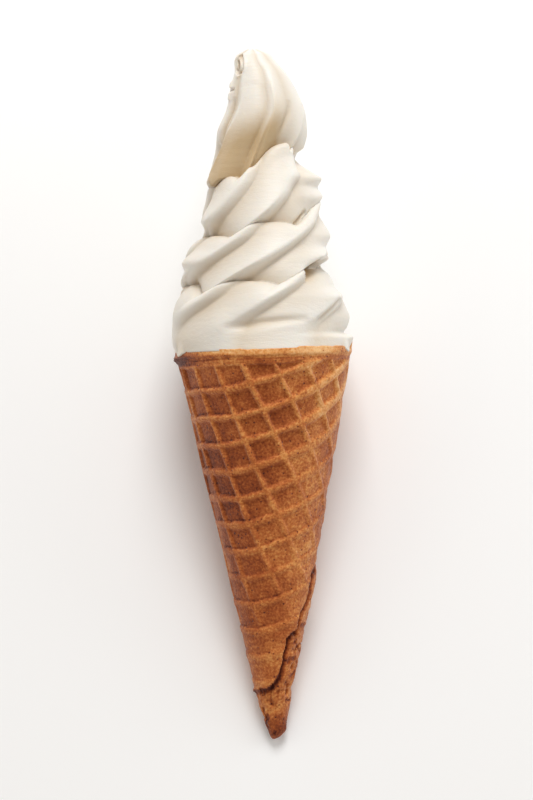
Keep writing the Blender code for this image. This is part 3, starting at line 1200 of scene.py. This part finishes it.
    def swirl(self) -> tuple[Array, dict[str, Array]]:
        """Lay rings up the swirl, whose columns follow the crests.

        Returns:
            Points of the rings and their attributes.
        """
        way = np.linspace(0, 1, self.rows)[:, None]
        height = self.height * (1 - (1 - way) ** self.row_crowding)
        crowded = (self.crest_azimuth(height) + self.columns() + math.pi) % TURN - math.pi
        # The azimuths whose crowded ones are these, closer with each round.
        azimuth = crowded
        for _ in range(16):
            azimuth = azimuth + crowded - self.crowded(azimuth, height)
        height = np.broadcast_to(height, azimuth.shape)
        radius, lift, painted_shade = self.skin(azimuth, height)
        radius, drop = self.over_rim(azimuth, height, radius)
        points = self.frame.round_axis(azimuth, radius, height + lift - drop, self.sideways_lean(height))
        return points, {"painted_shade": painted_shade}

    def plug(self) -> tuple[Array, dict[str, Array]]:
        """Lay the rings of the ice cream inside the wafer, from its low end up to the rim.

        Returns:
            Points of the rings and their attributes.
        """
        azimuth = self.crest_azimuth(np.zeros(1)) + self.columns()
        height = np.array(self.plug_heights)[:, None]
        rings = self.frame.round_axis(azimuth, self.frame.radius(height) - self.plug_gap, height)
        return rings, {"painted_shade": np.zeros(rings.shape[:2])}

    def build(self) -> bpy.types.Object:
        """Make the ice cream's one closed piece and dress it.

        Returns:
            The piece.
        """
        low, low_values = self.plug()
        high, high_values = self.swirl()
        values = {key: np.concatenate([low_values[key], high_values[key]]) for key in low_values}
        piece = closed_skin("ice_cream", self.frame.laid_down(np.concatenate([low, high])), values)
        piece.data.materials.append(SoftCream().material())
        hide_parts("soft_serve")
        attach(piece, "root")
        return piece


# ---------------------------------------------------------------- the studio


@dataclass
class Studio:
    """Pale floor, soft lights and the camera."""

    frame: ConeFrame
    lean: float = 1.81 * DEGREE
    view_height: float = 309.6 * MM
    distance: float = 1.6
    look_at: tuple = (0.8 * MM, -19.2 * MM)
    floor_half: float = 3.0
    surround: tuple = (1, 0.98, 0.95, 1)
    surround_strength: float = 0.41

    def floor(self) -> None:
        """Add a wide pale floor that isn't part of the object."""
        mesh = bpy.data.meshes.new("floor")
        half = self.floor_half
        corners = [(-half, -half, 0), (half, -half, 0), (half, half, 0), (-half, half, 0)]
        mesh.from_pydata(corners, [], [(0, 1, 2, 3)])
        material, _, surface = plain_material("pale_floor")
        set_inputs(surface, Base_Color=(0.95, 0.95, 0.95, 1), Roughness=0.9)
        mesh.materials.append(material)
        floor = bpy.data.objects.new("floor", mesh)
        bpy.context.scene.collection.objects.link(floor)

    def camera(self) -> None:
        """Look straight at the shown side from above it, with the axis a little off upright."""
        data = bpy.data.cameras.new("camera")
        data.lens = data.sensor_width * self.distance / self.view_height
        data.clip_start, data.clip_end = 0.05, 20
        camera = bpy.data.objects.new("camera", data)
        bpy.context.scene.collection.objects.link(camera)
        across = Vector((1, 0, 0))
        right = across * math.cos(self.lean) - self.frame.axis * math.sin(self.lean)
        up = across * math.sin(self.lean) + self.frame.axis * math.cos(self.lean)
        back = self.frame.shown_side
        turn = Matrix((right, up, back)).transposed().to_4x4()
        target = self.frame.place(*self.look_at)
        camera.matrix_world = Matrix.Translation(target + back * self.distance) @ turn
        bpy.context.scene.camera = camera

    def light(self, name: str, towards: tuple[float, float, float], size: float, watts: float,
              tint: tuple[float, float, float] = (1, 1, 1)) -> None:
        """Add a square area light that faces the object.

        Args:
            name: Name of the light.
            towards: Place of the light, from the object's middle, in metres.
            size: Side of the square in metres.
            watts: Power.
            tint: Colour.
        """
        data = bpy.data.lights.new(name, "AREA")
        data.size, data.energy, data.color = size, watts, tint
        lamp = bpy.data.objects.new(name, data)
        lamp.location = Vector(towards)
        lamp.rotation_euler = (-Vector(towards)).to_track_quat("-Z", "Y").to_euler()
        bpy.context.scene.collection.objects.link(lamp)

    def lights(self) -> None:
        """Light softly from all round, strongest from beyond the swirl and warmest from beyond the wafer."""
        world = bpy.data.worlds.new("soft_surround")
        world.use_nodes = True
        set_inputs(world.node_tree.nodes["Background"], Color=self.surround, Strength=self.surround_strength)
        bpy.context.scene.world = world
        self.light("key", (0.1, 1.0, 1.0), 0.6, 13.7)
        self.light("right_fill", (1.1, 0.35, 0.45), 0.6, 2.4, (0.92, 0.97, 1))
        self.light("left_fill", (-1.1, 0.2, 0.6), 0.8, 1.9, (1, 0.92, 0.82))
        self.light("low_fill", (0.3, -0.9, 0.6), 0.8, 1.7, (1, 0.9, 0.78))

    def build(self) -> None:
        """Set up the whole studio."""
        bpy.context.scene.view_settings.view_transform = "Standard"
        self.floor()
        self.camera()
        self.lights()


def main() -> None:
    """Build every piece in order."""
    logging.basicConfig(level=logging.INFO, format="%(message)s")
    cone_frame = ConeFrame()
    for maker in (WaffleCone(cone_frame), SoftServe(cone_frame)):
        piece = maker.build()
        log.info("%s: %d faces", piece.name, len(piece.data.polygons))
    Studio(cone_frame).build()


if __name__ == "__main__":
    main()
